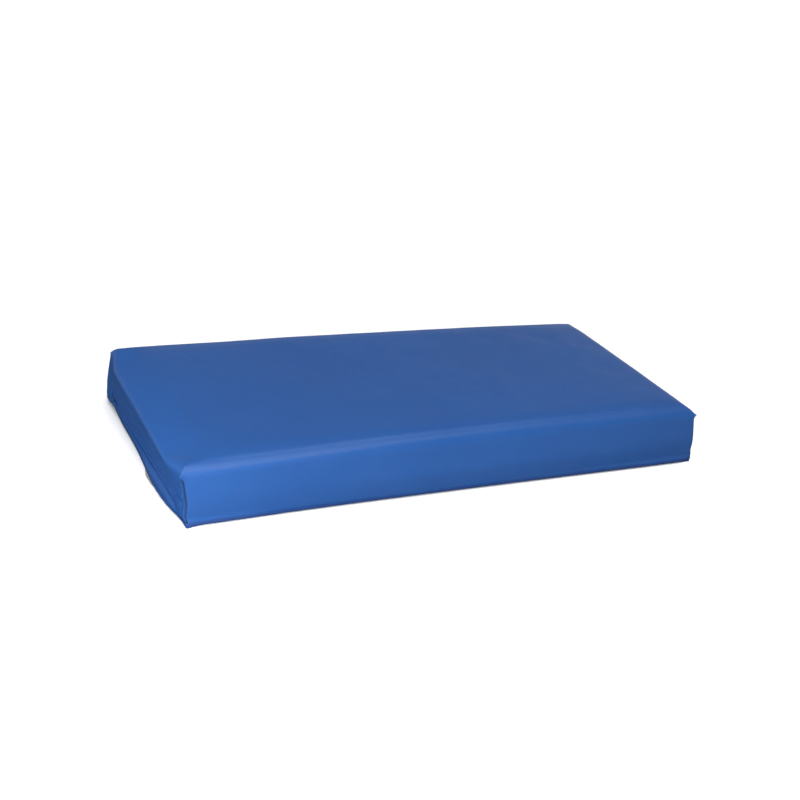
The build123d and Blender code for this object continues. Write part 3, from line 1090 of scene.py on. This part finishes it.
class GYMPAD_OT_stage(bpy.types.Operator):
    """Set the floor, the lights and the camera"""
    bl_idname = "gympad.stage"
    bl_label = "Stage"

    def execute(self, context):
        scene = context.scene
        scene.view_settings.view_transform = "Standard"
        deselect_all()
        bpy.ops.mesh.primitive_plane_add(size=400, location=(0, 0, UNDERSIDE_LOW.z - 0.2 * MM))
        floor = context.active_object
        floor.name = "floor"
        bpy.ops.object.transform_apply(location=True, rotation=True, scale=True)
        floor.data.materials.append(painted_floor("white_floor_paint", "#f6f6f5"))
        # The floor lights the pad from below and isn't mirrored in its sheen
        floor.visible_glossy = False

        world = bpy.data.worlds.new("studio")
        scene.world = world
        world.use_nodes = True
        sky = world.node_tree
        sky.nodes.clear()
        direction = add_node(sky, "ShaderNodeTexCoord").outputs["Generated"]
        split = add_node(sky, "ShaderNodeSeparateXYZ", links={"Vector": direction})
        rise = add_node(sky, "ShaderNodeMapRange", links={"Value": split.outputs["Z"]},
                        From_Min=-1.0)
        # Dark below the floor, a pale band at the horizon and an even dim sky above it
        bands = add_node(sky, "ShaderNodeValToRGB", links={"Fac": rise.outputs[0]})
        ramp = bands.color_ramp
        ramp.elements[0].position, ramp.elements[1].position = 0.44, 0.60
        ramp.elements.new(0.50)
        ramp.elements.new(0.54)
        for element, level in zip(ramp.elements, (0.03, 1.0, 1.0, 0.27)):
            element.color = (level, level, level, 1.0)
        background = add_node(sky, "ShaderNodeBackground", links={"Color": bands.outputs[0]})
        add_node(sky, "ShaderNodeOutputWorld", links={"Surface": background.outputs[0]})

        overhead = bpy.data.lights.new("overhead", "SUN")
        overhead.energy = 2.7
        overhead.angle = math.radians(50)
        lamp = bpy.data.objects.new("overhead", overhead)
        lamp.rotation_euler = Euler((math.radians(8), 0, 0))
        scene.collection.objects.link(lamp)

        # A large soft light low at the front left, one above the front fold, one at the end
        for name, place, target, energy, size in (
            ("key", (-0.95, -1.7, 0.75), (-0.45, -0.27, 0.06), 15.5, 0.8),
            ("fold_light", (-0.05, -1.0, 1.3), (-0.50, -0.27, 0.11), 4, 0.45),
            ("end_fill", (-1.15, -0.75, 0.35), (-0.6, -0.25, 0.05), 7.5, 0.4),
        ):
            lamp = bpy.data.lights.new(name, "AREA")
            lamp.energy = energy
            lamp.shape = "DISK"
            lamp.size = size
            softbox = bpy.data.objects.new(name, lamp)
            softbox.location = place
            aim = Vector(target) - softbox.location
            softbox.rotation_euler = aim.to_track_quat("-Z", "Y").to_euler()
            softbox.visible_camera = False
            scene.collection.objects.link(softbox)

        # The camera stands off the front left corner, looks down and is held tilted
        yaw, pitch, roll = (math.radians(a) for a in (CAMERA_YAW, CAMERA_PITCH, CAMERA_ROLL))
        forward = Vector((math.sin(yaw) * math.cos(pitch), math.cos(yaw) * math.cos(pitch),
                          -math.sin(pitch)))
        level = Vector((math.cos(yaw), -math.sin(yaw), 0))
        upright = level.cross(forward)
        right = math.cos(roll) * level + math.sin(roll) * upright
        up = -math.sin(roll) * level + math.cos(roll) * upright
        camera = bpy.data.cameras.new("camera")
        camera.sensor_width = 36
        camera.lens = CAMERA_LENS
        view = bpy.data.objects.new("camera", camera)
        turn = Matrix((right, up, -forward)).transposed().to_4x4()
        view.matrix_world = Matrix.Translation(CAMERA_PLACE) @ turn
        scene.collection.objects.link(view)
        scene.camera = view
        return {"FINISHED"}


OPERATORS = (
    GYMPAD_OT_cover,
    GYMPAD_OT_hem_binding,
    GYMPAD_OT_underside,
    GYMPAD_OT_foam_core,
    GYMPAD_OT_corner_tapes,
    GYMPAD_OT_zip_tapes,
    GYMPAD_OT_zip_teeth,
    GYMPAD_OT_zip_patches,
    GYMPAD_OT_zip_slider,
    GYMPAD_OT_stitching,
    GYMPAD_OT_stage,
)


class GYMPAD_PT_panel(bpy.types.Panel):
    """Lists the pad's pieces in the sidebar"""
    bl_idname = "GYMPAD_PT_panel"
    bl_label = "Gym Pad"
    bl_space_type = "VIEW_3D"
    bl_region_type = "UI"
    bl_category = "Gym Pad"

    def draw(self, context):
        for operator in OPERATORS:
            self.layout.operator(operator.bl_idname)
        for name in PadSettings.__annotations__:
            self.layout.prop(context.scene.gym_pad, name)


def register():
    bpy.utils.register_class(PadSettings)
    for item in OPERATORS + (GYMPAD_PT_panel,):
        bpy.utils.register_class(item)
    bpy.types.Scene.gym_pad = bpy.props.PointerProperty(type=PadSettings)


def unregister():
    del bpy.types.Scene.gym_pad
    for item in reversed(OPERATORS + (GYMPAD_PT_panel,)):
        bpy.utils.unregister_class(item)
    bpy.utils.unregister_class(PadSettings)


def main():
    register()
    bpy.ops.gympad.cover()
    bpy.ops.gympad.hem_binding()
    bpy.ops.gympad.underside()
    bpy.ops.gympad.foam_core()
    bpy.ops.gympad.corner_tapes()
    bpy.ops.gympad.zip_tapes()
    bpy.ops.gympad.zip_teeth()
    bpy.ops.gympad.zip_patches()
    bpy.ops.gympad.zip_slider()
    bpy.ops.gympad.stitching()
    bpy.ops.gympad.stage()


if __name__ == "__main__":
    main()
